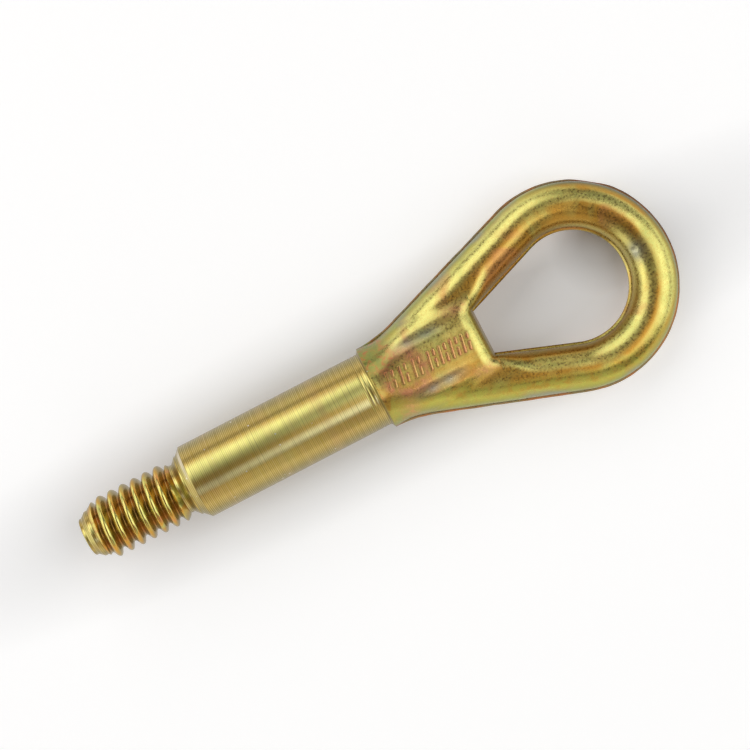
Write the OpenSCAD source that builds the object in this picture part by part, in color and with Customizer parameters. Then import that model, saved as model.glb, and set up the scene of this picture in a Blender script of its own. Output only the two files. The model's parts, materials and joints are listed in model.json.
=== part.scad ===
// Tow eye: a drop-forged steel eye on a turned shank with a left-hand thread.
// The eye is a flat teardrop loop of round bar. Its two legs run back to a flat web, and the web
// runs back to a round neck. The shank has a relief groove, a coarse round thread and a plain pilot.
// The eye lies on a flat surface, on the underside of its neck and of the loop's far end.

/* [Eye] */
// Radius of the round end of the opening
hole_r = 14; // [11:0.5:17]
// Distance from the shoulder to the centre of that round end
hole_x = 55.4; // [50:0.2:64]
// Width of the loop's bar
bar_w = 12.8; // [10:0.2:15]
// Thickness of the loop's bar at its far end
bar_t = 12.8; // [10:0.2:15]
// Thickness of the legs where they leave the web
leg_t = 14.4; // [13:0.2:18]

/* [Web] */
// Distance from the shoulder to the straight edge of the opening
web_x = 30.4; // [26:0.2:34]
// Length of that straight edge
web_w = 11.5; // [8:0.5:14]
// Thickness of the web's pad at its rounded end
pad_t = 17; // [14:0.2:18]
// Width of the pad, over the round of its sides
pad_w = 24; // [20:0.5:30]
// Radius of the pad's rounded end
pad_end_r = 3.8; // [1:0.1:5]
// Depth of the shallow valleys between the pad and the legs
valley_depth = 0.4; // [0:0.1:1]

/* [Trimmed edge] */
// Width of the ledge left where the forging's flash was trimmed off
ledge_w = 0.6; // [0.3:0.1:1.2]
// Thickness of that ledge
ledge_t = 1.8; // [1:0.1:3]

/* [Neck] */
// Diameter of the forged neck
neck_d = 21.8; // [20.6:0.1:24]
// Length of the neck before its sides spread into the legs
neck_len = 5.1; // [3:0.1:8]

/* [Shank] */
// Diameter of the turned shank
shank_d = 19.5; // [18:0.1:20]
// Length of the turned shank
shank_len = 50; // [30:1:80]
// Length of the flare from the shank out to the neck
flare_len = 0.75; // [0.5:0.05:1]
// Length of the chamfer at the shank's thread end
chamfer_len = 1.75; // [1:0.05:2]
// Length of the step and cone between the chamfer and the relief groove
cone_len = 1.75; // [1:0.05:3]
// Diameter of the relief groove
relief_d = 13; // [12.7:0.1:13.2]
// Length of the relief groove
relief_len = 0.75; // [0.5:0.05:3]

/* [Thread] */
// Outer diameter of the thread
thread_d = 16; // [15:0.1:17]
// Root diameter of the thread
root_d = 12.5; // [12.4:0.1:13.2]
// Pitch of the left-hand thread
pitch = 3.2; // [2.5:0.1:4]
// Length of the thread
thread_len = 23; // [14:0.5:40]

/* [Pilot] */
// Diameter of the plain pilot ahead of the thread
pilot_d = 12.3; // [11.6:0.1:12.4]
// Length of the pilot's round part
pilot_len = 1.1; // [0.5:0.1:6]
// Diameter of the pilot's nose
nose_d = 10; // [8:0.1:11]
// Length of the cone between pilot and nose
nose_cone = 1.3; // [0.5:0.1:3]
// Length of the nose
nose_len = 0.8; // [0.3:0.1:2]

/* [Hidden] */

neck_r = neck_d / 2;
ledge_h = ledge_t / 2;
web_half = web_w / 2;
loop_r = hole_r + bar_w;
crown_r = hole_r + bar_w / 2;

// Angles of the legs: each line runs from its corner and touches its circle.
out_run = hole_x - neck_len;
in_run = hole_x - web_x;
out_angle = asin(loop_r / norm([out_run, neck_r])) - atan2(neck_r, out_run);
in_angle = asin(hole_r / norm([in_run, web_half])) - atan2(web_half, in_run);
leg_run = norm([in_run, web_half]) * cos(asin(hole_r / norm([in_run, web_half])));

// Share of its full width that the ledge has at the shoulder
ledge_start = 0.15;
// Radii of the blends between the forged surfaces
side_blend = 2;
top_blend = 1.5;
// Height at which a leg starts in the neck, as a share of its full height
leg_start = 0.6;
// Distance of a leg's inner side from the axis, inside the neck
leg_in_y = 2.2;
// Length over which a leg's inner side goes from the pad's sharp round to the loop's full one
leg_round_len = 9;
// Share of the height that the pad's end is rounded over, above a steep wall
end_depth = 0.5;
// Distance of the valleys from the axis, their half width, and where they start and end
valley_y = 6.4;
valley_half = 2.2;
valley_start = 6;
valley_full = 11;
valley_fade = 19;
valley_end = 28;
// Distance from the shoulder at which the legs and the flat pad are fully formed
spread_x = 13;
// Squareness of the section across: a circle at the neck, flatter on the pad
round_power = 2;
pad_power = 3;

// Steps along and across the forging
neck_steps = 15;
end_steps = 4;
leg_steps = 7;
loop_steps = 22;
pad_cols = 3;
bar_cols = 10;
leg_cols = bar_cols + 2;
leg_step = leg_run / leg_steps;
cols = pad_cols + leg_cols;
row = 2 * cols + 1;
rows = neck_steps + end_steps + 1;
stations = 2 * (leg_steps + loop_steps);
neck_pts = (rows + 1) * row;
top_pts = neck_pts + (stations - 1) * (leg_cols + 1);

function clamp(v, low, high) = max(low, min(high, v));
function mix(a, b, t) = a + (b - a) * t;
function ease(t) = let (c = clamp(t, 0, 1)) c * c * (3 - 2 * c);
// The larger or the smaller of two heights, with a fillet of size k where they cross
function soft_max(a, b, k) = max(a, b) + pow(max(0, k - abs(a - b)), 2) / (4 * k);
function soft_min(a, b, k) = -soft_max(-a, -b, k);

// Half width of the neck and legs over the outer sides, at a distance x from the shoulder
function side_y(x) = soft_max(neck_r, neck_r + (x - neck_len) * tan(out_angle), side_blend);
// Inner side of a leg, carried on into the neck
function inner_y(x) = soft_max(leg_in_y, web_half + (x - web_x) * tan(in_angle), side_blend);
// The trimmed ledge starts at the shoulder and reaches its full width along the neck.
function neck_ledge(x) = ledge_w * mix(ledge_start, 1, ease(x / neck_len));

// Share of its full height that a form has at a distance d inside its edge. The edge is rounded to
// a radius r over the upper part of the height, which is the depth, and steep below it.
function rounded(d, r, depth = 1) =
    let (t = clamp(1 - d / r, 0, 1)) d <= 0 ? 0 : 1 - depth * (1 - sqrt(1 - t * t));
// Height over the parting plane: a share of the rise from the ledge to a crest
function rise(crest, part) = mix(ledge_h, crest, part);

// Height of the pad: round at the neck, then flatter, and falling evenly towards the opening
function pad_height(x, y) =
    let (
        crest = mix(neck_r, pad_t / 2, x / (web_x - ledge_w - pad_end_r)),
        power = mix(round_power, pad_power, ease(x / spread_x)),
        half = soft_min(side_y(x) - neck_ledge(x), pad_w / 2, side_blend)
    )
    crest * pow(1 - pow(min(1, y / half), power), 1 / power);

function valley(x, y) =
    let (across = clamp(abs(y - valley_y) / valley_half, 0, 1))
    valley_depth * (1 - ease(across))
        * ease((x - valley_start) / (valley_full - valley_start))
        * (1 - ease((x - valley_fade) / (valley_end - valley_fade)));

// Height of the forging over the parting plane between the shoulder and the opening
function neck_height(x, y) =
    let (
        ledge = neck_ledge(x),
        high = side_y(x),
        half = (high - inner_y(x)) / 2,
        leg = leg_t / 2 * mix(leg_start, 1, ease(x / spread_x)),
        bar = rise(leg, rounded(high - y - ledge, half - ledge)),
        crest = soft_max(bar, pad_height(x, y), top_blend) - valley(x, y),
        d = norm([web_x - x, max(0, y - web_half)]) - ledge_w
    )
    max(ledge_h, rise(crest, rounded(d, pad_end_r, end_depth)));

// Places across a strip of a given width: its two ledges, and even angles round the bar between
function across(col, width, ledge) =
    col <= 0 ? 0 :
    col >= leg_cols ? 1 :
    let (e = ledge / width) e + (1 - 2 * e) * (1 - cos(180 * (col - 1) / bar_cols)) / 2;

// Distance of a row of points from the shoulder
function row_x(k) =
    let (start = web_x - ledge_w - pad_end_r)
    k <= neck_steps ? start * k / neck_steps :
    k < rows ? start + pad_end_r * sin(90 * (k - neck_steps) / end_steps) : web_x;

function neck_y(x, c) =
    let (a = abs(c), width = side_y(x) - web_half)
    a <= pad_cols ? web_half * c / pad_cols :
    sign(c) * (web_half + width * across(a - pad_cols, width, neck_ledge(x)));

// Point on the opening's edge and point on the outer edge, at a station of the leg and loop
function inner_edge(s) =
    let (t = min(1, s / leg_steps), a = (90 + in_angle) * (1 - max(0, s - leg_steps) / loop_steps))
    s < leg_steps
        ? [mix(web_x, hole_x - hole_r * sin(in_angle), t), mix(web_half, hole_r * cos(in_angle), t)]
        : [hole_x + hole_r * cos(a), hole_r * sin(a)];
function outer_edge(s) =
    let (
        x = mix(web_x, hole_x - loop_r * sin(out_angle), min(1, s / leg_steps)),
        a = (90 + out_angle) * (1 - max(0, s - leg_steps) / loop_steps)
    )
    s < leg_steps ? [x, side_y(x)] : [hole_x + loop_r * cos(a), loop_r * sin(a)];

// Height of the leg or loop, at a share v of the width across it. Its inner side is rounded like
// the pad's end where it leaves the web, and then more and more like its outer side.
function loop_height(near, width, v) =
    let (
        t = mix(leg_t, bar_t, ease(near / (leg_steps + loop_steps / 2))) / 2,
        full_r = width / 2 - ledge_w,
        part = ease(near * leg_step / leg_round_len),
        inner = rounded(v * width - ledge_w, mix(pad_end_r, full_r, part), mix(end_depth, 1, part)),
        outer = rounded((1 - v) * width - ledge_w, full_r)
    )
    rise(t, min(inner, outer));

// Point on top of the leg or loop. The second half of the stations mirrors the first.
function loop_point(s, col) =
    let (
        half_way = stations / 2,
        near = s <= half_way ? s : stations - s,
        a = inner_edge(near),
        b = outer_edge(near),
        width = norm(b - a),
        v = across(col, width, ledge_w),
        p = a + (b - a) * v
    )
    [p.x, s <= half_way ? p.y : -p.y, loop_height(near, width, v)];

function neck_point(k, c) = let (x = row_x(k), y = neck_y(x, c)) [x, y, neck_height(x, abs(y))];
function neck_id(k, c) = k * row + c + cols;
function loop_id(s, col) =
    s == 0 ? neck_id(rows, pad_cols + col) :
    s == stations ? neck_id(rows, -pad_cols - col) :
    neck_pts + (s - 1) * (leg_cols + 1) + col;
// Two triangles over four corners
function two(a, b, c, d) = [[a, b, c], [a, c, d]];
function flip(f) = [for (i = [len(f) - 1:-1:0]) f[i]];
// A wall between an edge on top and the same edge on the underside
function wall(a, b) = [a, b, b + top_pts, a + top_pts];

forging_top = concat(
    [for (k = [0:rows]) for (c = [-cols:cols]) neck_point(k, c)],
    [for (s = [1:stations - 1]) for (c = [0:leg_cols]) loop_point(s, c)]
);
forging_points = concat(forging_top, [for (p = forging_top) [p.x, p.y, -p.z]]);
top_faces = concat(
    [for (k = [0:rows - 1]) for (c = [-cols:cols - 1])
        each two(neck_id(k, c), neck_id(k, c + 1), neck_id(k + 1, c + 1), neck_id(k + 1, c))],
    [for (s = [0:stations - 1]) for (c = [0:leg_cols - 1])
        each two(loop_id(s, c), loop_id(s, c + 1), loop_id(s + 1, c + 1), loop_id(s + 1, c))]
);
forging_faces = concat(
    top_faces,
    [for (f = top_faces) [for (i = flip(f)) i + top_pts]],
    [for (k = [0:rows - 1]) wall(neck_id(k + 1, cols), neck_id(k, cols))],
    [for (k = [0:rows - 1]) wall(neck_id(k, -cols), neck_id(k + 1, -cols))],
    [for (s = [0:stations - 1]) wall(loop_id(s + 1, leg_cols), loop_id(s, leg_cols))],
    [for (s = [0:stations - 1]) wall(loop_id(s, 0), loop_id(s + 1, 0))],
    [for (c = [-pad_cols:pad_cols - 1]) wall(neck_id(rows, c), neck_id(rows, c + 1))],
    [for (c = [-cols:cols - 1]) wall(neck_id(0, c + 1), neck_id(0, c))]
);

// Places along the shank, from the shoulder towards the thread
shank_x = -flare_len - shank_len;
relief_x = shank_x - chamfer_len - cone_len;
thread_x = relief_x - relief_len;
pilot_x = thread_x - thread_len;
cone_x = pilot_x - pilot_len;
nose_x = cone_x - nose_cone;
tip_x = nose_x - nose_len;
// Hidden plugs that carry one turned solid into the next
plug_len = 4;
plug_in = 0.8;
plug_r = 5;
// Step below the shank's chamfer, and the share of the cone's length that it takes
step_r = thread_d / 2;
step_share = 0.3;
// Small difference in radius, between the shank's steps and at the thread's ends
step_gap = 0.2;
// Distance that the flare is carried on into the neck, and the chamfer of the nose
flare_end = 0.25;
nose_break = 0.3;
// Sides of a turned form
turned_sides = 96;

// Steps of the thread: round it, and along one pitch
turn_steps = 36;
pitch_cols = 6;
col_steps = turn_steps / pitch_cols;
step_len = pitch / turn_steps;
// Angles at which the thread starts at the pilot and runs out at the relief
thread_lead = 34;
runout_angle = 42;
thread_end_r = root_d / 2 + step_gap;
// Steps of the helix at its two flat ends, and the columns of points that it needs
thread_low = turn_steps;
thread_high = turn_steps + round(thread_len / step_len);
thread_cols = ceil(thread_high / col_steps) + 1;
// Share of a turn at which the first crest stands over the axis
crest_phase = 0.97;

// Radius of the thread at a distance d from its pilot end, and at a turn t of the helix
function thread_r(d, t) =
    let (
        wave = (1 + cos(360 * (d / pitch - t - crest_phase))) / 2,
        full = mix(root_d / 2, thread_d / 2, wave),
        lead = thread_end_r + d * tan(thread_lead),
        runout = thread_end_r + (thread_len - d) * tan(runout_angle)
    )
    min(full, lead, runout);
// The columns of points follow the helix, and stop at the two flat ends.
function thread_col(i, j) =
    clamp(j, floor((thread_low - i) / col_steps), ceil((thread_high - i) / col_steps));
function thread_id(i, j) =
    i < turn_steps
        ? i * (thread_cols + 1) + thread_col(i, j)
        : thread_col(0, j + pitch_cols);
function thread_point(i, j) =
    let (
        n = clamp(j * col_steps + i, thread_low, thread_high),
        d = n == thread_high ? thread_len : (n - thread_low) * step_len,
        ends = n == thread_low || n == thread_high,
        r = ends ? thread_end_r : thread_r(d, i / turn_steps),
        a = 360 * i / turn_steps
    )
    [pilot_x + d, r * sin(a), r * cos(a)];
// One triangle, left out where two of its corners are the same
function whole(a, b, c) = a == b || b == c || c == a ? [] : [[a, b, c]];

thread_points = [for (i = [0:turn_steps - 1]) for (j = [0:thread_cols]) thread_point(i, j)];
thread_faces = concat(
    [for (i = [0:turn_steps - 1]) for (j = [0:thread_cols - 1]) each concat(
        whole(thread_id(i, j), thread_id(i + 1, j), thread_id(i + 1, j + 1)),
        whole(thread_id(i, j), thread_id(i + 1, j + 1), thread_id(i, j + 1))
    )],
    [[for (i = [turn_steps - 1:-1:0]) thread_id(i, 0)]],
    [[for (i = [0:turn_steps - 1]) thread_id(i, thread_cols)]]
);

// The angle at which the eye lies: a straight edge under it touches the shoulder and the loop.
rest_run = hole_x + crown_r;
rest_angle = atan2(neck_r, rest_run) - asin(bar_t / 2 / norm([rest_run, neck_r]));
function laid(p) = [
    p.x * cos(rest_angle) + p.z * sin(rest_angle),
    p.y,
    p.z * cos(rest_angle) - p.x * sin(rest_angle)
];
rest_drop = min([for (p = forging_points) laid(p).z]);
far_end = laid([hole_x + loop_r, 0, ledge_h]).x;
near_end = laid([tip_x, 0, nose_break - nose_d / 2]).x;
mid_x = (far_end + near_end) / 2;

// A solid of revolution about the X axis: each point is a place along it and a radius
module turned(profile) {
    rotate([0, 90, 0])
        rotate_extrude($fn = turned_sides)
            polygon([for (p = profile) [p[1], p[0]]]);
}

module forging() {
    polyhedron(points = forging_points, faces = forging_faces, convexity = 6);
}

module shank() {
    turned([
        [thread_x - plug_len, 0],
        [thread_x - plug_len, relief_d / 2 - plug_in],
        [thread_x - plug_in, relief_d / 2 - plug_in],
        [thread_x - plug_in, relief_d / 2],
        [relief_x, relief_d / 2],
        [shank_x - chamfer_len - cone_len * step_share, step_r - step_gap],
        [shank_x - chamfer_len - cone_len * step_share, step_r],
        [shank_x - chamfer_len, step_r],
        [shank_x, shank_d / 2],
        [-flare_len, shank_d / 2],
        [flare_end, neck_r - step_gap],
        [flare_end, shank_d / 2 - plug_in],
        [plug_len, plug_r],
        [plug_len, 0]
    ]);
}

module thread() {
    polyhedron(points = thread_points, faces = thread_faces, convexity = 10);
}

module pilot() {
    turned([
        [tip_x, 0],
        [tip_x, nose_d / 2 - nose_break],
        [tip_x + nose_break, nose_d / 2],
        [nose_x, nose_d / 2],
        [cone_x, pilot_d / 2],
        [pilot_x + plug_in, pilot_d / 2],
        [pilot_x + plug_in, pilot_d / 2 - plug_in],
        [pilot_x + plug_len, pilot_d / 2 - plug_in],
        [pilot_x + plug_len, 0]
    ]);
}

module tow_eye() {
    color("goldenrod")
        translate([-mid_x, 0, -rest_drop])
            rotate([0, rest_angle, 0]) {
                forging();
                shank();
                thread();
                pilot();
            }
}

tow_eye();
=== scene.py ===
import json
import math

import bmesh
import bpy
from mathutils import Matrix, Vector, noise


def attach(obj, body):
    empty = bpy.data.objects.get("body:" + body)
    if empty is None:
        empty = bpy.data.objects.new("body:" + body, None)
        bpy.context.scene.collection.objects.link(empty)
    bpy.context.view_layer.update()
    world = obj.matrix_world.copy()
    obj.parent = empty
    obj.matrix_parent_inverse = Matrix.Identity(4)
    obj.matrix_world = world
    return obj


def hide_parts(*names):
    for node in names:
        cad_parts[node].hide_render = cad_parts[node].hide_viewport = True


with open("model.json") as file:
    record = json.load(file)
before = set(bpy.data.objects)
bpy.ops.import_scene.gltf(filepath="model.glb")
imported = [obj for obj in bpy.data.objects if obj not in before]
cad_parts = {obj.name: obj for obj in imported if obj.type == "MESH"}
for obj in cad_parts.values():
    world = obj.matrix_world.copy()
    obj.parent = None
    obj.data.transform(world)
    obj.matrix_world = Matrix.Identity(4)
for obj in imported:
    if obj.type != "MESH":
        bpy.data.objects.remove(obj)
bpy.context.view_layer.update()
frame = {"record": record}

MM = 0.001

# Sizes are in millimetres in the eye's own frame: X along the shank towards the loop, Z square to the
# loop, and the origin at the shoulder between shank and neck. A height is over the parting plane.
# Round end of the opening, width of the bar, heights of bar and legs
HOLE_R = 14.0
HOLE_X = 55.4
BAR_W = 12.8
BAR_H = 6.4
LEG_H = 7.2
LOOP_R = HOLE_R + BAR_W
# Web: its edge at the opening, its pad and the pad's rounded end
WEB_X = 30.4
WEB_HALF = 5.75
PAD_H = 8.5
PAD_HALF = 12.0
PAD_END_R = 3.8
END_DEPTH = 0.5
# Valleys between the pad and the legs
VALLEY_Y = 6.4
VALLEY_HALF = 2.2
VALLEY_DEPTH = 0.25
VALLEY_START, VALLEY_FULL, VALLEY_FADE, VALLEY_END = 6, 11, 19, 28
# Ledge left by the trimmed flash, and how deep the trimming tool went in places
LEDGE_W = 0.6
LEDGE_H = 0.9
LEDGE_FALL = 0.35
LEDGE_START = 0.15
TRIM_DEPTH = 0.12
BITE_DEPTH = 0.3
BITE_X, BITE_LEN = 71, 3.0
BITE_Y, BITE_FADE = 12, 4
# Neck, and how legs and pad grow out of it
NECK_R = 10.9
NECK_LEN = 5.1
SPREAD_X = 13.0
LEG_START = 0.6
LEG_IN_Y = 2.2
LEG_ROUND_LEN = 9
ROUND_POWER = 2
PAD_POWER = 3
SIDE_BLEND = 2.0
TOP_BLEND = 1.5
# Forged skin: depth of its waves, and a dent at the loop's far end
SKIN_WAVE = 0.05
DENT_DEPTH = 0.22
DENT_X, DENT_Y = 72.4, 1.1
DENT_LEN, DENT_WIDTH = 0.7, 0.55
# Raised marks
MARKS_X = (4.2, 7.7, 11.4, 15.6, 18.7, 21.8, 24.9)
MARK_LEAN = 0.16
MARK_R = 0.42
MARK_H = 0.28
MARK_FOOT = 0.4
# Turned end, from the shoulder to the tip
FLARE = 0.75
SHANK_R = 9.73
SHANK_X = -50.75
RELIEF_X = -54.25
RELIEF_R = 6.5
THREAD_X = -55.0
THREAD_R = 8.0
ROOT_R = 6.25
END_REACH = 0.2
THREAD_END_R = ROOT_R + END_REACH
PITCH = 3.2
THREAD_LEN = 23.0
# Slopes of the thread's two ends in degrees
LEAD_ANGLE = 34
RUNOUT_ANGLE = 42
# Where a crest passes the top of the thread, in pitches from its pilot end, and how crest and groove
# share half a pitch
CREST_PHASE = 0.97
CREST_SHARE = 0.56
GROOVE_SHARE = 0.44
# Pilot, its cone and its nose
PILOT_X = -78.0
PILOT_R = 6.15
CONE_X = -79.1
NOSE_X = -80.4
NOSE_R = 5.0
NOSE_BREAK = 0.25
TIP_X = -81.2

mount = next(m for m in frame["record"]["mounts"] if m["name"] == "shank")
along = -Vector(mount["axis"])
across = Vector((0, 1, 0))
upward = along.cross(across)
shoulder = Vector(mount["pos_m"]) + along * (FLARE + mount["dims"]["length_mm"] / 2) * MM
OWN = Matrix((
    (along.x * MM, across.x * MM, upward.x * MM, shoulder.x),
    (along.y * MM, across.y * MM, upward.y * MM, shoulder.y),
    (along.z * MM, across.z * MM, upward.z * MM, shoulder.z),
    (0, 0, 0, 1),
))
LEAN = math.atan2(upward.x, upward.z)


def mix(a, b, t):
    """The value at a share t of the way from a to b."""
    return a + (b - a) * t


def ease(t):
    """A smooth step from 0 to 1."""
    t = min(1.0, max(0.0, t))
    return t * t * (3 - 2 * t)


def soft_max(a, b, k):
    """The larger of two heights, with a fillet of size k where they cross."""
    return max(a, b) + max(0.0, k - abs(a - b)) ** 2 / (4 * k)


def bell(t):
    """1 at 0, falling to nearly 0 at 2."""
    return math.exp(-t * t)


def direction(azimuth, tilt):
    """A direction over the eye, in its own frame: azimuth in its plane and tilt off its vertical, in
    degrees."""
    a, t = math.radians(azimuth), math.radians(tilt)
    return Vector((math.cos(a) * math.sin(t), math.sin(a) * math.sin(t), math.cos(t)))


def wave(x, y, z, size, seed):
    """Smooth noise from -1 to 1, with waves of about that size in mm."""
    return noise.noise(Vector((x / size + seed, y / size - seed, z / size)))


# Shape of the forging over its parting plane. Each side of a leg is a line from a corner that touches
# a circle of the loop.

OUT_RUN = HOLE_X - NECK_LEN
IN_RUN = HOLE_X - WEB_X
OUT_ANGLE = math.asin(LOOP_R / math.hypot(OUT_RUN, NECK_R)) - math.atan2(NECK_R, OUT_RUN)
IN_ANGLE = math.asin(HOLE_R / math.hypot(IN_RUN, WEB_HALF)) - math.atan2(WEB_HALF, IN_RUN)
# Steps along and across the forging
NECK_STEPS = 96
END_STEPS = 10
PAD_COLS = 18
LEDGE_COLS = 2
BAR_COLS = 34
LEG_COLS = BAR_COLS + 2 * LEDGE_COLS
LEG_STEPS = 56
LOOP_STEPS = 132
PAD_LEN = WEB_X - LEDGE_W - PAD_END_R
LEG_RUN = math.sqrt(IN_RUN ** 2 + WEB_HALF ** 2 - HOLE_R ** 2)


def side_y(x):
    """Half width of the neck and the legs, over their outer sides."""
    return soft_max(NECK_R, NECK_R + (x - NECK_LEN) * math.tan(OUT_ANGLE), SIDE_BLEND)


def inner_y(x):
    """Inner side of a leg, carried on into the neck."""
    return soft_max(LEG_IN_Y, WEB_HALF + (x - WEB_X) * math.tan(IN_ANGLE), SIDE_BLEND)


def neck_ledge(x):
    """Width of the ledge, which grows from the shoulder along the neck."""
    return LEDGE_W * mix(LEDGE_START, 1, ease(x / NECK_LEN))


def rounded(d, r, depth=1.0):
    """Share of its full height that a form has at a distance inside its edge, which is rounded to a
    radius over the upper part of the height and steep below it."""
    t = min(1.0, max(0.0, 1 - d / r))
    return 0.0 if d <= 0 else 1 - depth * (1 - math.sqrt(1 - t * t))


def pad_height(x, y):
    """Height of the pad: round at the neck, flatter towards the opening."""
    crest = mix(NECK_R, PAD_H, x / PAD_LEN)
    power = mix(ROUND_POWER, PAD_POWER, ease(x / SPREAD_X))
    half = -soft_max(-(side_y(x) - neck_ledge(x)), -PAD_HALF, SIDE_BLEND)
    return crest * (1 - min(1.0, y / half) ** power) ** (1 / power)


def valley(x, y):
    """Depth of the valley between the pad and a leg."""
    across_it = 1 - ease(abs(y - VALLEY_Y) / VALLEY_HALF)
    grown = ease((x - VALLEY_START) / (VALLEY_FULL - VALLEY_START))
    left = 1 - ease((x - VALLEY_FADE) / (VALLEY_END - VALLEY_FADE))
    return VALLEY_DEPTH * across_it * grown * left


def neck_height(x, y):
    """Height of the neck and the web."""
    ledge, high = neck_ledge(x), side_y(x)
    half = (high - inner_y(x)) / 2
    leg = LEG_H * mix(LEG_START, 1, ease(x / SPREAD_X))
    bar = mix(LEDGE_H, leg, rounded(high - y - ledge, half - ledge))
    crest = soft_max(bar, pad_height(x, y), TOP_BLEND) - valley(x, y)
    inside = math.hypot(WEB_X - x, max(0.0, y - WEB_HALF)) - LEDGE_W
    return max(LEDGE_H, mix(LEDGE_H, crest, rounded(inside, PAD_END_R, END_DEPTH)))


def loop_height(near, width, part):
    """Height of a leg or of the loop. Its inner side starts as sharp as the pad's end."""
    top = mix(LEG_H, BAR_H, ease(near / (LEG_STEPS + LOOP_STEPS / 2)))
    full = width / 2 - LEDGE_W
    grown = ease(near * LEG_RUN / LEG_STEPS / LEG_ROUND_LEN)
    inner = rounded(part * width - LEDGE_W, mix(PAD_END_R, full, grown), mix(END_DEPTH, 1, grown))
    outer = rounded((1 - part) * width - LEDGE_W, full)
    return mix(LEDGE_H, top, min(inner, outer))


def share(col, width, ledge):
    """Where a column lies across a bar: a few on each ledge, closer to the bar, and even angles round
    the bar between them."""
    if col > LEG_COLS / 2:
        return 1 - share(LEG_COLS - col, width, ledge)
    e = ledge / width
    if col <= LEDGE_COLS:
        return e * (col / LEDGE_COLS) ** 0.4
    return e + (1 - 2 * e) * (1 - math.cos(math.pi * (col - LEDGE_COLS) / BAR_COLS)) / 2


def trimmed(x, y):
    """How much deeper than a clean cut the trimming tool went at a place on the outline, in mm."""
    rough = 0.4 + 0.6 * wave(x, y, 0, 5.0, 3.6) + 0.3 * wave(x, y, 0, 2.2, 8.1)
    bite = bell((x - BITE_X) / BITE_LEN) * ease((y - BITE_Y) / BITE_FADE)
    return TRIM_DEPTH * min(1.0, max(0.0, rough)) + BITE_DEPTH * bite


def neck_place(u, v):
    """Point on top of the neck and web: u from 0 to 1 along it, v from -1 to 1 across."""
    k = u * (NECK_STEPS + END_STEPS)
    if k <= NECK_STEPS:
        x = PAD_LEN * k / NECK_STEPS
    elif k < NECK_STEPS + END_STEPS - 0.5:
        x = PAD_LEN + PAD_END_R * math.sin(math.pi / 2 * (k - NECK_STEPS) / (END_STEPS - 1))
    else:
        x = WEB_X
    c = round(abs(v) * (PAD_COLS + LEG_COLS))
    if c <= PAD_COLS:
        y = WEB_HALF * c / PAD_COLS
    else:
        width = side_y(x) - WEB_HALF
        y = WEB_HALF + width * share(c - PAD_COLS, width, neck_ledge(x))
    height = neck_height(x, y)
    if c == PAD_COLS + LEG_COLS:
        y -= trimmed(x, math.copysign(y, v)) * ease(x / NECK_LEN)
        height -= LEDGE_FALL
    return Vector((x, math.copysign(y, v), height))


def loop_place(u, v):
    """Point on top of the legs and loop: u from 0 to 1 round it, v from 0 to 1 outwards."""
    s = u * 2 * (LEG_STEPS + LOOP_STEPS)
    side = 1 if s <= LEG_STEPS + LOOP_STEPS else -1
    near = min(s, 2 * (LEG_STEPS + LOOP_STEPS) - s)
    lead = min(1.0, near / LEG_STEPS)
    turn = 1 - max(0.0, near - LEG_STEPS) / LOOP_STEPS
    if near < LEG_STEPS:
        inner = Vector((mix(WEB_X, HOLE_X - HOLE_R * math.sin(IN_ANGLE), lead),
                        mix(WEB_HALF, HOLE_R * math.cos(IN_ANGLE), lead), 0))
        x = mix(WEB_X, HOLE_X - LOOP_R * math.sin(OUT_ANGLE), lead)
        outer = Vector((x, side_y(x), 0))
    else:
        a = (math.pi / 2 + IN_ANGLE) * turn
        inner = Vector((HOLE_X + HOLE_R * math.cos(a), HOLE_R * math.sin(a), 0))
        a = (math.pi / 2 + OUT_ANGLE) * turn
        outer = Vector((HOLE_X + LOOP_R * math.cos(a), LOOP_R * math.sin(a), 0))
    width = (outer - inner).length
    col = round(v * LEG_COLS)
    part = share(col, width, LEDGE_W)
    height = loop_height(near, width, part)
    if col == LEG_COLS:
        part -= trimmed(outer.x, side * outer.y) / width
        height -= LEDGE_FALL
    elif col == 0 and near > 0:
        height -= LEDGE_FALL
    p = inner + (outer - inner) * part
    return Vector((p.x, p.y * side, height))


def sheet(bm, cols, rows, place, low):
    """A grid laid out by a function of two shares, the first from 0 and the second from low, which is
    0 or -1, up to 1."""
    for v in bmesh.ops.create_grid(bm, x_segments=cols, y_segments=rows, size=1)["verts"]:
        second = (v.co.y + 1) / 2 if low == 0 else v.co.y
        v.co = place((v.co.x + 1) / 2, second)


def mark_bars():
    """The bars of the raised marks: where the middle of each lies along and across the eye, and half
    its length. Each mark has a long bar and two short ones."""
    for x in MARKS_X:
        for shift, middle, half in ((-0.8, 0, 2.1), (0.75, 1.45, 0.55), (0.75, -1.2, 0.8)):
            yield x + shift + middle * MARK_LEAN, middle, half


def near_mark(x, y):
    """1 at the foot of the raised marks, falling to nearly 0 at 1.5 mm from it."""
    gaps = []
    for mark_x, middle, half in mark_bars():
        past = max(0.0, abs(y - middle) - half)
        gaps.append(math.hypot(x - mark_x - (y - middle) * MARK_LEAN, past))
    return bell(min(gaps) / 0.75)


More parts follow.
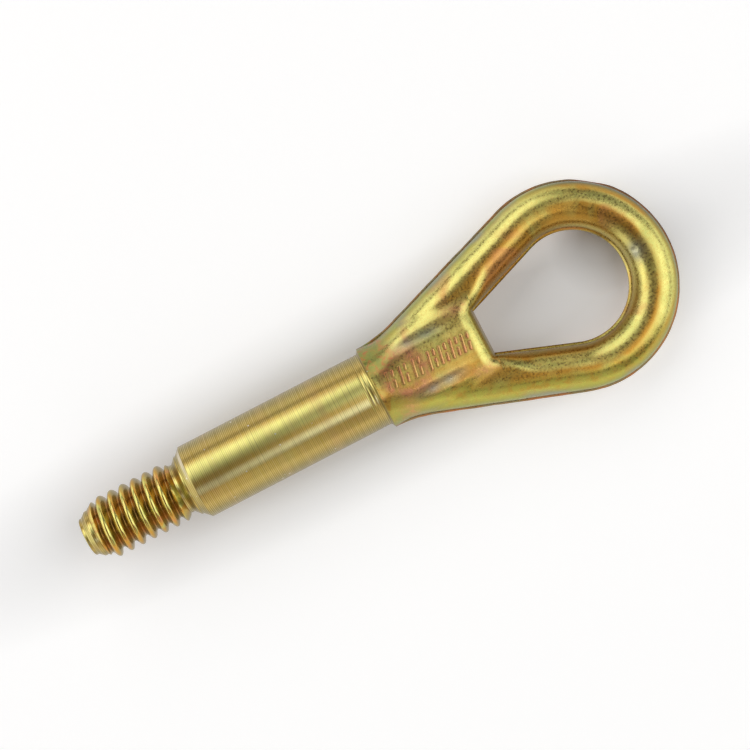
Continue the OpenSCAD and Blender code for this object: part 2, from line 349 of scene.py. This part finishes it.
def stains_and_shade(p, way, wear_and_glint):
    """How strongly a place is stained or shaded: grey in the valleys and at the scuff, copper in a ring on
    the neck and inside the legs, olive towards the shoulder, and olive round the marks that is partly
    mottling and partly painted shade at their foot. The fourth value is 1 where the surface faces away
    from the middle of the loop. A place with wear is copper all over."""
    y = abs(p.y)
    cloud = 0.5 + 0.5 * wave(p.x, p.y, 0, 2.4, 6.3)
    grey = bell((y - 6.3) / 1.5) * ease((p.x - 6) / 6) * (1 - ease((p.x - 16) / 9)) * (0.4 + 0.6 * cloud)
    grey = max(grey, bell((p.x - 72.6) / 2.2) * bell((p.y - 0.6) / 2.6) * ease(way.z) * (0.5 + cloud))
    ring = bell((math.hypot(p.x - 8, p.y) - 4.8) / 1.6)
    patch = bell((y - 8.4) / 1.6) * bell((p.x - 26) / 3.5)
    spot = bell((p.x - 5.5) / 2.2) * bell((y - 8.5) / 2)
    copper = min(1.0, ring + 0.8 * patch + 0.7 * spot + wear_and_glint)
    olive = (1 - ease((p.x - 3) / 8)) * (0.3 + 0.7 * ease((y - 1) / 4)) if -0.2 < p.x < 12 else 0
    olive *= 1 if p.y > 0 else 0.3
    # Olive round the foot of the marks: partly mottling, partly painted shade
    if -0.2 < p.x < 27 and y < 4.5 and way.z > 0.3 and not wear_and_glint:
        olive = max(olive, 0.75 * near_mark(p.x, p.y))
    outward = 1.0 if way.x * (p.x - HOLE_X) + way.y * p.y > 0 else 0.0
    return (min(1.0, grey), copper, olive, outward)


def add_object(name, data):
    """An object of that data in the scene."""
    made = bpy.data.objects.new(name, data)
    bpy.context.scene.collection.objects.link(made)
    return made


def finish_piece(name, bm, material, smooth_angle=40, wear_and_glint=0.0):
    """Turns a mesh in own millimetres into a piece of the object, with attributes for its materials."""
    bmesh.ops.recalc_face_normals(bm, faces=bm.faces[:])
    bm.normal_update()
    mesh = bpy.data.meshes.new(name)
    bm.to_mesh(mesh)
    bm.free()
    mesh.attributes.new("own_facing", "FLOAT_VECTOR", "POINT")
    mesh.attributes.new("stain_and_shade", "FLOAT_COLOR", "POINT")
    facing, stain_and_shade = mesh.attributes["own_facing"], mesh.attributes["stain_and_shade"]
    for i, v in enumerate(mesh.vertices):
        facing.data[i].vector = v.normal
        stain_and_shade.data[i].color = stains_and_shade(v.co, v.normal, wear_and_glint)
    mesh.transform(OWN)
    mesh.shade_smooth()
    mesh.set_sharp_from_angle(angle=math.radians(smooth_angle))
    mesh.materials.append(material)
    piece = add_object(name, mesh)
    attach(piece, "root")
    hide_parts("tow_eye")


def forged_eye(material):
    """The forging: its top as two sheets, walls down to the parting plane, and all of it mirrored."""
    bm = bmesh.new()
    sheet(bm, NECK_STEPS + END_STEPS, 2 * (PAD_COLS + LEG_COLS), neck_place, -1)
    sheet(bm, 2 * (LEG_STEPS + LOOP_STEPS), LEG_COLS, loop_place, 0)
    bmesh.ops.remove_doubles(bm, verts=bm.verts[:], dist=0.002)
    rim = [e for e in bm.edges if e.is_boundary and max(v.co.x for v in e.verts) > 0.001]
    walls = bmesh.ops.extrude_edge_only(bm, edges=rim)["geom"]
    for v in walls:
        if isinstance(v, bmesh.types.BMVert):
            v.co.z = 0
    geom = bm.verts[:] + bm.edges[:] + bm.faces[:]
    bmesh.ops.mirror(bm, geom=geom, matrix=Matrix.Identity(4), merge_dist=0.001, axis="Z")
    bmesh.ops.holes_fill(bm, edges=[e for e in bm.edges if e.is_boundary], sides=0)
    bmesh.ops.recalc_face_normals(bm, faces=bm.faces[:])
    bm.normal_update()
    moves = []
    for v in bm.verts:
        rough = 0.6 * wave(v.co.x, v.co.y, v.co.z, 7.0, 1.7) + 0.4 * wave(v.co.x, v.co.y, v.co.z, 2.6, 4.2)
        off_dent = math.hypot((v.co.x - DENT_X) / DENT_LEN, (v.co.y - DENT_Y) / DENT_WIDTH)
        dent = DENT_DEPTH * bell(off_dent) if v.co.z > 0 else 0
        moves.append(v.normal * ((SKIN_WAVE * rough - SKIN_WAVE) * ease(v.co.x / 1.5) - dent))
    for v, move in zip(bm.verts, moves):
        v.co += move
    finish_piece("forged_eye", bm, material, 30)


def lathe(bm, profile, steps):
    """A solid of revolution about the X axis, from places along it and radii."""
    tip = bmesh.ops.create_vert(bm, co=(profile[0][0], 0, profile[0][1]))["vert"][0]
    for x, r in profile[1:]:
        tip = bmesh.ops.extrude_vert_indiv(bm, verts=[tip])["verts"][0]
        tip.co = (x, 0, r)
    geom = bm.verts[:] + bm.edges[:]
    bmesh.ops.spin(bm, geom=geom, cent=(0, 0, 0), axis=(1, 0, 0), dvec=(0, 0, 0),
                   angle=2 * math.pi, steps=steps, use_merge=True)
    bmesh.ops.remove_doubles(bm, verts=bm.verts[:], dist=0.0005)
    bmesh.ops.recalc_face_normals(bm, faces=bm.faces[:])


def soften(bm, offset, segments, limit):
    """Rounds the edges that are sharper than a limit in degrees."""
    bm.normal_update()
    sharp = [e for e in bm.edges if len(e.link_faces) == 2 and e.calc_face_angle() > math.radians(limit)]
    bmesh.ops.bevel(bm, geom=sharp, offset=offset, offset_type="OFFSET", segments=segments,
                    profile=0.5, affect="EDGES", clamp_overlap=True, material=-1)


def turned_shank(material):
    """The shank, with the relief groove at one end and two fine grooves and the flare at the other."""
    bm = bmesh.new()
    lathe(bm, [
        (THREAD_X - 0.6, 0), (THREAD_X - 0.6, 5.6), (THREAD_X - 0.1, RELIEF_R), (RELIEF_X, RELIEF_R),
        (RELIEF_X + 1.2, 7.8), (RELIEF_X + 1.3, THREAD_R), (RELIEF_X + 1.75, THREAD_R),
        (SHANK_X, SHANK_R), (-2.9, SHANK_R), (-2.75, 9.63), (-2.5, 9.63), (-2.35, SHANK_R),
        (-1.9, SHANK_R), (-1.75, 9.66), (-1.55, 9.66), (-1.4, SHANK_R), (-FLARE, SHANK_R),
        (-0.45, 9.9), (-0.1, 10.6), (0.2, 10.7), (0.2, 0),
    ], 144)
    soften(bm, 0.12, 2, 22)
    finish_piece("turned_shank", bm, material)


def thread_height(d, phase):
    """Radius of the thread at a distance d from its pilot end; phase is the share of a turn along it."""
    t = 2 * abs(phase - round(phase))
    swell = 1 - 0.5 * (t / CREST_SHARE) ** 2.3 if t < CREST_SHARE else 0.5 * ((1 - t) / GROOVE_SHARE) ** 2
    full = mix(ROOT_R, THREAD_R, swell)
    lead = THREAD_END_R + max(-END_REACH, d) * math.tan(math.radians(LEAD_ANGLE))
    runout = THREAD_END_R + max(-END_REACH, THREAD_LEN - d) * math.tan(math.radians(RUNOUT_ANGLE))
    return min(full, lead, runout)


def rolled_thread(material):
    """The left-hand thread: a line of one pitch wound round the axis, drawn in to the thread's form and
    cut flat at both ends. The cuts take off the spare turns."""
    bm = bmesh.new()
    steps, points = 96, 18
    turns = math.ceil(THREAD_LEN / PITCH) + 3
    start = PILOT_X + (CREST_PHASE + turns - 2) * PITCH
    tip = bmesh.ops.create_vert(bm, co=(start, 0, THREAD_R))["vert"][0]
    for i in range(1, points + 1):
        tip = bmesh.ops.extrude_vert_indiv(bm, verts=[tip])["verts"][0]
        tip.co = (start + PITCH * i / points, 0, THREAD_R)
    bmesh.ops.spin(bm, geom=bm.verts[:] + bm.edges[:], cent=(0, 0, 0), axis=(1, 0, 0),
                   dvec=(-PITCH / steps, 0, 0), angle=2 * math.pi * turns, steps=steps * turns)
    for v in bm.verts:
        turn = math.atan2(v.co.y, v.co.z) / (2 * math.pi)
        d = v.co.x - PILOT_X
        r = thread_height(d, d / PITCH - turn - CREST_PHASE)
        size = math.hypot(v.co.y, v.co.z)
        v.co.y *= r / size
        v.co.z *= r / size
    bmesh.ops.remove_doubles(bm, verts=bm.verts[:], dist=0.003)
    for x, side in ((PILOT_X, -1), (THREAD_X, 1)):
        geom = bm.verts[:] + bm.edges[:] + bm.faces[:]
        bmesh.ops.bisect_plane(bm, geom=geom, dist=0.0001, plane_co=(x, 0, 0),
                               plane_no=(side, 0, 0), clear_outer=True)
    bmesh.ops.holes_fill(bm, edges=[e for e in bm.edges if e.is_boundary], sides=0)
    finish_piece("rolled_thread", bm, material, 60)


def pilot(material):
    """The plain pilot, with its cone and nose."""
    bm = bmesh.new()
    lathe(bm, [
        (TIP_X, 0), (TIP_X, NOSE_R - NOSE_BREAK), (TIP_X + NOSE_BREAK, NOSE_R), (NOSE_X, NOSE_R),
        (CONE_X, PILOT_R), (PILOT_X + 0.15, PILOT_R), (PILOT_X + 0.5, 5.6), (PILOT_X + 0.5, 0),
    ], 128)
    soften(bm, 0.14, 2, 18)
    finish_piece("pilot", bm, material)


def raised_marks(material):
    """Generic raised marks in place of the forged-in characters."""
    bm = bmesh.new()
    for mark_x, middle, half in mark_bars():
        ring = bmesh.ops.create_circle(bm, cap_ends=True, radius=MARK_R, segments=20)["verts"]
        for v in ring:
            v.co.y += math.copysign(half, v.co.y) if abs(v.co.y) > 0.001 else half
            v.co.x += mark_x + v.co.y * MARK_LEAN
            v.co.y += middle
            v.co.z = neck_height(mark_x, 0) - MARK_FOOT
        made = bmesh.ops.extrude_face_region(bm, geom=[ring[0].link_faces[0]])["geom"]
        for v in (g for g in made if isinstance(g, bmesh.types.BMVert)):
            v.co.z = neck_height(v.co.x, abs(v.co.y)) + MARK_H
    bmesh.ops.recalc_face_normals(bm, faces=bm.faces[:])
    soften(bm, 0.2, 3, 60)
    finish_piece("raised_marks", bm, material, wear_and_glint=0.9)


# Materials

def linear(hex_colour):
    """An sRGB hex colour as the linear colour that a shader takes."""
    values = [int(hex_colour[i:i + 2], 16) / 255 for i in (1, 3, 5)]
    return [v / 12.92 if v <= 0.04045 else ((v + 0.055) / 1.055) ** 2.4 for v in values] + [1]


def node(tree, kind, settings=None, inputs=None, links=None):
    """Adds a node: its settings, the values of its sockets, and links from other nodes' outputs."""
    made = tree.nodes.new(kind)
    for key, value in (settings or {}).items():
        setattr(made, key, value)
    for key, value in (inputs or {}).items():
        made.inputs[key].default_value = value
    for key, output in (links or {}).items():
        tree.links.new(output, made.inputs[key])
    return made


def number(tree, kind, a, b=None, c=None):
    """A maths node on sockets or plain values."""
    made = node(tree, "ShaderNodeMath", {"operation": kind})
    for i, value in enumerate((a, b, c)):
        if isinstance(value, bpy.types.NodeSocket):
            tree.links.new(value, made.inputs[i])
        elif value is not None:
            made.inputs[i].default_value = value
    return made.outputs[0]


def times(tree, a, b):
    """The product of sockets or plain values."""
    return number(tree, "MULTIPLY", a, b)


def split(tree, vector):
    """The X, Y and Z of a vector."""
    return node(tree, "ShaderNodeSeparateXYZ", links={"Vector": vector}).outputs


def length(tree, vector):
    """The length of a vector."""
    return node(tree, "ShaderNodeVectorMath", {"operation": "LENGTH"}, links={0: vector}).outputs["Value"]


def attribute(tree, name):
    """The outputs of an attribute of the mesh."""
    return node(tree, "ShaderNodeAttribute", {"attribute_name": name}).outputs


def ramp(tree, factor, stops):
    """A ramp through stops: places from 0 to 1, each with a value or a hex colour."""
    made = node(tree, "ShaderNodeValToRGB", links={"Fac": factor})
    items = made.color_ramp.elements
    while len(items) < len(stops):
        items.new(0.5)
    for item, (place, value) in zip(items, stops):
        item.position = place
        item.color = linear(value) if isinstance(value, str) else (value, value, value, 1)
    return made.outputs["Color"]


def blend(tree, factor, a, b):
    """Colour b over colour a by a factor. The colours can be sockets or hex colours."""
    made = node(tree, "ShaderNodeMix", {"data_type": "RGBA"})
    # In this node, the factor for colours is input 0, the colours are 6 and 7, and the result is output 2
    for place, value in ((0, factor), (6, a), (7, b)):
        if isinstance(value, bpy.types.NodeSocket):
            tree.links.new(value, made.inputs[place])
        else:
            made.inputs[place].default_value = linear(value)
    return made.outputs[2]


def own_noise(tree, place, size, detail=2.0, distortion=0.0):
    """Noise from about 0 to 1, with features of a size in mm."""
    inputs = {"Scale": 1 / size, "Detail": detail, "Distortion": distortion}
    return node(tree, "ShaderNodeTexNoise", inputs=inputs, links={"Vector": place}).outputs["Fac"]


def own_place(tree):
    """Object coordinates, turned and scaled into the eye's own frame in millimetres."""
    coords = node(tree, "ShaderNodeTexCoord")
    return node(tree, "ShaderNodeMapping", {"vector_type": "TEXTURE"},
                {"Location": shoulder, "Rotation": (0, LEAN, 0), "Scale": (MM, MM, MM)},
                {"Vector": coords.outputs["Object"]}).outputs["Vector"]


def facing_share(tree, facing, azimuth, tilt, stops):
    """A ramp by how nearly the surface faces a direction: its places are cosines of the angle between."""
    made = node(tree, "ShaderNodeVectorMath", {"operation": "DOT_PRODUCT"},
                {1: direction(azimuth, tilt)}, {0: facing})
    return ramp(tree, made.outputs["Value"], stops)


def fine_relief(tree, shader, heights, strength, depth):
    """Relief too fine for the mesh, from heights of 0 to 1 and a depth in mm."""
    bump = node(tree, "ShaderNodeBump", inputs={"Strength": strength, "Distance": depth * MM},
                links={"Height": heights})
    tree.links.new(bump.outputs["Normal"], shader.inputs["Normal"])


def new_material(name):
    """A material with nothing but a shader."""
    material = bpy.data.materials.new(name)
    material.use_nodes = True
    tree = material.node_tree
    tree.nodes.clear()
    out = node(tree, "ShaderNodeOutputMaterial")
    shader = node(tree, "ShaderNodeBsdfPrincipled")
    tree.links.new(shader.outputs["BSDF"], out.inputs["Surface"])
    return material, tree, shader


def plated(name, cloud_size, cloudy, amber="#cf9c42", highlight_way=(112, 32),
           highlight_stops=((0.85, 0.0), (0.975, 1.0))):
    """Zinc with a yellow passive film. The film is amber, with lemon as a painted highlight on slopes that
    face the far lamp, the loop's end lamp and the thread lamp, and with green and copper clouds."""
    material, tree, shader = new_material(name)
    shader.inputs["Metallic"].default_value = 1
    place = own_place(tree)
    facing = attribute(tree, "own_facing")["Vector"]
    lift = number(tree, "ABSOLUTE", split(tree, facing)["Z"])
    # Painted highlight: lemon on slopes that face the lamps
    painted_highlight = facing_share(tree, facing, *highlight_way, highlight_stops)
    for azimuth, tilt, stops in (
        (-16, 30, [(0.9, 0.0), (0.965, 1.0)]),
        (24, 22, [(0.93, 0.0), (0.985, 1.0)]),
        (175, 42, [(0.86, 0.0), (0.96, 0.8)]),
    ):
        painted_highlight = number(tree, "MAXIMUM", painted_highlight, facing_share(tree, facing, azimuth, tilt, stops))
    film = blend(tree, painted_highlight, amber, "#f6ee8c")
    clouds = own_noise(tree, place, cloud_size, 2.0, 0.6)
    film = blend(tree, ramp(tree, clouds, [(0.5, 0.0), (0.7, cloudy)]), film, "#c4c870")
    film = blend(tree, ramp(tree, clouds, [(0.28, cloudy), (0.42, 0.0)]), film, "#d88e5c")
    return material, tree, shader, place, facing, lift, film


def forged_zinc():
    """Yellow-passivated zinc over a forged skin: grainy mottled gold, olive and copper on the neck, with
    a grey and copper side that is partly the film's colour and partly painted shade, and a brown foot of
    painted shade along the trimmed rim."""
    material, tree, shader, place, facing, lift, film = plated("forged_yellow_zinc", 9.0, 0.6)
    stain_and_shade = attribute(tree, "stain_and_shade")
    grey, copper, olive = node(tree, "ShaderNodeSeparateColor", links={"Color": stain_and_shade["Color"]}).outputs
    outward = stain_and_shade["Alpha"]
    patches = own_noise(tree, place, 1.7, 2.0, 0.4)
    broken = ramp(tree, patches, [(0.35, 0.4), (0.6, 1.0)])
    fine = own_noise(tree, place, 0.55, 1.0)

    # Specks in the grain, and an olive painted highlight on the outer slope of the near leg, where it
    # faces the near lamp
    colour = blend(tree, ramp(tree, fine, [(0.32, 0.35), (0.6, 0.0)]), film, "#a67630")
    near = times(tree, facing_share(tree, facing, -100, 42, [(0.8, 0.0), (0.95, 0.75)]), outward)
    colour = blend(tree, times(tree, near, broken), colour, "#c4c258")

    # Sides: grey to olive on the outside, partly the film's colour and partly painted shade, with painted
    # shade on slopes at its far end that face no lamp; round the opening brown, partly the film's colour
    # and partly painted shade, with a lemon painted highlight on slopes that face the thread lamp
    side_film_and_shade = ramp(tree, own_noise(tree, place, 9.0, 1.0),
                     [(0.35, "#949574"), (0.55, "#a0a24e"), (0.7, "#a49c44")])
    lee_shade = facing_share(tree, facing, 45, 60, [(0.75, 0.0), (0.95, 1.0)])
    side_film_and_shade = blend(tree, lee_shade, side_film_and_shade, "#5e5e34")
    back = facing_share(tree, facing, 195, 60, [(0.3, 0.0), (0.9, 1.0)])
    side_film_and_shade = blend(tree, outward, blend(tree, back, "#7e7138", "#e4de88"), side_film_and_shade)
    side = ramp(tree, lift, [(0.42, 1.0), (0.8, 0.0)])
    side = times(tree, side, number(tree, "MULTIPLY_ADD", outward, 0.4, 0.6))
    colour = blend(tree, side, colour, side_film_and_shade)

    # Rim: copper and grey by the height over the parting plane, partly the film's colour and partly
    # painted shade low on the side, with a brown foot of painted shade towards the far end
    rim_film_and_shade = ramp(tree, own_noise(tree, place, 6.0, 2.0),
                    [(0.38, "#8a7a5e"), (0.5, "#a0714e"), (0.6, "#b4704c")])
    height = number(tree, "ABSOLUTE", split(tree, place)["Z"])
    rim = times(tree, ramp(tree, times(tree, height, 0.1), [(0.1, 1.0), (0.26, 0.0)]), outward)
    colour = blend(tree, times(tree, rim, 0.85), colour, rim_film_and_shade)
    foot = times(tree, facing_share(tree, facing, 25, 90, [(0.2, 0.0), (0.7, 0.9)]), rim)
    colour = blend(tree, foot, colour, "#4e2f22")

    # Stains, with painted shade in the olive round the foot of the raised marks
    colour = blend(tree, times(tree, copper, broken), colour, "#d9976a")
    mottle = ramp(tree, patches, [(0.36, "#7c8448"), (0.5, "#8c8a46"), (0.62, "#a86e42")])
    colour = blend(tree, times(tree, olive, 0.85), colour, mottle)
    colour = blend(tree, times(tree, grey, 0.75), colour, "#8e9490")

    tree.links.new(colour, shader.inputs["Base Color"])
    tree.links.new(ramp(tree, fine, [(0.3, 0.24), (0.7, 0.38)]), shader.inputs["Roughness"])
    fine_relief(tree, shader, fine, 0.15, 0.1)
    return material


def turned_zinc():
    """The same zinc over turned steel: fine rings round the shank, greyer down its sides, partly the
    film's colour and partly painted shade, with a painted highlight as a paler line along it, the
    chamfer's edge pale with wear and a painted highlight on its lit side, and a few pale flecks."""
    material, tree, shader, place, facing, lift, film = plated(
        "turned_yellow_zinc", 12.0, 0.3, "#dcb656", (90, 14), ((0.955, 0.0), (0.985, 1.0)))
    x = split(tree, place)["X"]
    line = node(tree, "ShaderNodeCombineXYZ", links={"X": x}).outputs["Vector"]
    ridges = node(tree, "ShaderNodeTexWave", {"wave_type": "BANDS", "bands_direction": "X"},
                  {"Scale": 0.7, "Distortion": 1.8, "Detail": 1.0, "Detail Scale": 0.4},
                  {"Vector": line}).outputs["Fac"]
    rings = own_noise(tree, line, 0.5, 1.0)
    turning = number(tree, "MULTIPLY_ADD", ridges, 0.42, times(tree, rings, 0.58))
    bands = own_noise(tree, line, 6.0, 1.0)

    # A painted highlight as a pale line, and greyer sides, partly the film's colour and partly painted
    # shade; then the turning marks, pale and dark, and wider copper bands
    glint = facing_share(tree, facing, -90, 15, [(0.984, 0.0), (0.998, 1.0)])
    colour = blend(tree, glint, film, "#fff6b4")
    colour = blend(tree, ramp(tree, lift, [(0.5, 1.0), (0.92, 0.0)]), colour, "#8e804c")
    colour = blend(tree, ramp(tree, turning, [(0.5, 0.0), (0.75, 0.45)]), colour, "#ecd7a0")
    colour = blend(tree, ramp(tree, turning, [(0.22, 0.6), (0.46, 0.0)]), colour, "#857238")
    colour = blend(tree, ramp(tree, bands, [(0.5, 0.0), (0.7, 0.2)]), colour, "#c9a06c")

    # The chamfer by the relief, pale with wear and with a painted highlight on the side that faces the far
    # lamp, and the flecks
    chamfer = ramp(tree, number(tree, "MULTIPLY_ADD", x, 0.1, 5.6),
                   [(0.42, 0.0), (0.45, 0.75), (0.5, 0.75), (0.53, 0.0)])
    wear_and_glint = facing_share(tree, facing, 110, 45, [(0.7, 0.0), (0.95, 0.8)])
    colour = blend(tree, times(tree, chamfer, wear_and_glint), colour, "#fff4e0")
    flecks = node(tree, "ShaderNodeTexVoronoi", {"feature": "F1"}, {"Scale": 0.27},
                  {"Vector": place}).outputs["Distance"]
    colour = blend(tree, ramp(tree, flecks, [(0.04, 0.8), (0.07, 0.0)]), colour, "#fffdf4")

    tree.links.new(colour, shader.inputs["Base Color"])
    shader.inputs["Roughness"].default_value = 0.28
    fine_relief(tree, shader, turning, 0.5, 0.12)
    return material


def thread_zinc():
    """The zinc on the rolled thread: smoother and deeper in colour, brown in the grooves."""
    material, tree, shader, place, _, lift, film = plated("thread_yellow_zinc", 4.0, 0.8)
    own = split(tree, place)
    squared = number(tree, "MULTIPLY_ADD", own["Z"], own["Z"], times(tree, own["Y"], own["Y"]))
    radius = number(tree, "SQRT", squared)
    groove = ramp(tree, number(tree, "MULTIPLY_ADD", radius, 0.5, -3.0), [(0.14, 0.8), (0.4, 0.0)])
    colour = blend(tree, groove, film, "#8e5428")
    # Greyer sides: partly the film's colour, partly painted shade
    colour = blend(tree, ramp(tree, lift, [(0.2, 0.85), (0.65, 0.0)]), colour, "#948858")
    tree.links.new(colour, shader.inputs["Base Color"])
    shader.inputs["Roughness"].default_value = 0.24
    return material


def seen_rays(tree):
    """1 for the camera's rays and for rays that metal or glass throws back or lets through."""
    rays = node(tree, "ShaderNodeLightPath")
    seen = number(tree, "MAXIMUM", rays.outputs["Is Camera Ray"], rays.outputs["Is Glossy Ray"])
    return number(tree, "MAXIMUM", seen, rays.outputs["Is Transmission Ray"])


def floor_material():
    """Pale floor. Part of its white is light that only the camera and reflections see: less of it round
    the eye, where the shadow lies, and all of it far off, where the lamps don't reach."""
    material, tree, shader = new_material("pale_floor")
    shader.inputs["Base Color"].default_value = linear("#f0efee")
    shader.inputs["Roughness"].default_value = 0.9
    shader.inputs["Specular IOR Level"].default_value = 0
    shader.inputs["Emission Color"].default_value = linear("#fdfdfd")
    place = node(tree, "ShaderNodeTexCoord").outputs["Object"]

    # Painted shadow: least in an oval round the eye
    oval = node(tree, "ShaderNodeMapping", inputs={"Scale": (6, 34, 1)}, links={"Vector": place})
    off_eye = times(tree, length(tree, oval.outputs["Vector"]), 0.5)
    strength = ramp(tree, off_eye, [(0.2, 0.135), (0.3, 0.29), (0.46, 0.42)])

    # Painted shadow: none in a patch inside the loop's far end, where the far end casts its shadow
    patch = node(tree, "ShaderNodeVectorMath", {"operation": "DISTANCE"},
                 {1: (0.0665, 0.006, 0)}, {0: place}).outputs["Value"]
    strength = times(tree, strength, ramp(tree, times(tree, patch, 60.0), [(0.3, 0.0), (0.8, 1.0)]))

    # More with the distance
    far = ramp(tree, times(tree, length(tree, place), 0.3), [(0.09, 0.0), (0.13, 0.42), (0.36, 1.0)])
    strength = number(tree, "MAXIMUM", strength, far)
    tree.links.new(times(tree, seen_rays(tree), strength), shader.inputs["Emission Strength"])
    return material


forged = forged_zinc()
turned = turned_zinc()
threaded = thread_zinc()
forged_eye(forged)
turned_shank(turned)
rolled_thread(threaded)
pilot(turned)
raised_marks(forged)


# Floor, lamps, world and camera, in metres

FLOOR_HALF = 3
LAMP_DISTANCE = 1.2
# The horizon's strength to seen rays, on top of the strength to every ray
HORIZON_GLOW = 0.85
SKY_GLOW = 0.15
# The camera looks straight down on the eye, turned as in the photo. Its place is in own millimetres.
CAMERA_TURN = 27.4
CAMERA_PLACE = (1.27, 3.0, 510)
LENS_MM = 97.92
SENSOR_MM = 36

floor_mesh = bpy.data.meshes.new("floor")
bm = bmesh.new()
bmesh.ops.create_grid(bm, x_segments=1, y_segments=1, size=FLOOR_HALF)
bm.to_mesh(floor_mesh)
bm.free()
floor_mesh.materials.append(floor_material())
floor = add_object("floor", floor_mesh)


def soft_box(name, azimuth, tilt, width, height, strength):
    """A lamp in a direction over the eye, turned towards the shoulder. Its power grows with its size."""
    lamp = bpy.data.lights.new(name, "AREA")
    lamp.shape = "RECTANGLE"
    lamp.size = width
    lamp.size_y = height
    lamp.energy = strength * width * height * math.pi
    made = add_object(name, lamp)
    made.location = shoulder + (OWN.to_3x3() @ direction(azimuth, tilt)).normalized() * LAMP_DISTANCE
    made.rotation_euler = (made.location - shoulder).to_track_quat("Z", "Y").to_euler()


soft_box("soft_box_far", 118, 48, 2.1, 0.86, 1.12)
soft_box("soft_box_end", -20, 40.5, 1.15, 1.3, 1.15)
soft_box("soft_box_strip", -86, 31, 1.0, 0.16, 0.8)
soft_box("soft_box_near", -105, 66, 1.1, 0.8, 0.5)
soft_box("soft_box_thread", 182, 66, 1.1, 0.8, 0.8)

world = bpy.data.worlds.new("studio")
bpy.context.scene.world = world
world.use_nodes = True
tree = world.node_tree
backdrop = tree.nodes["Background"]
backdrop.inputs["Color"].default_value = (1, 1, 1, 1)
sky = split(tree, node(tree, "ShaderNodeTexCoord").outputs["Generated"])
horizon = ramp(tree, sky["Z"], [(0.1, 1.0), (0.2, 0.0)])
glow = number(tree, "MULTIPLY_ADD", times(tree, seen_rays(tree), horizon), HORIZON_GLOW, SKY_GLOW)
tree.links.new(glow, backdrop.inputs["Strength"])

camera_data = bpy.data.cameras.new("camera")
camera_data.lens = LENS_MM
camera_data.sensor_width = SENSOR_MM
camera = add_object("camera", camera_data)
turn = math.radians(CAMERA_TURN)
right = (along * math.cos(turn) - across * math.sin(turn)).normalized()
top = (along * math.sin(turn) + across * math.cos(turn)).normalized()
away = right.cross(top)
spot = OWN @ Vector(CAMERA_PLACE)
camera.matrix_world = Matrix((
    (right.x, top.x, away.x, spot.x),
    (right.y, top.y, away.y, spot.y),
    (right.z, top.z, away.z, spot.z),
    (0, 0, 0, 1),
))
bpy.context.scene.camera = camera
bpy.context.scene.view_settings.view_transform = "Standard"
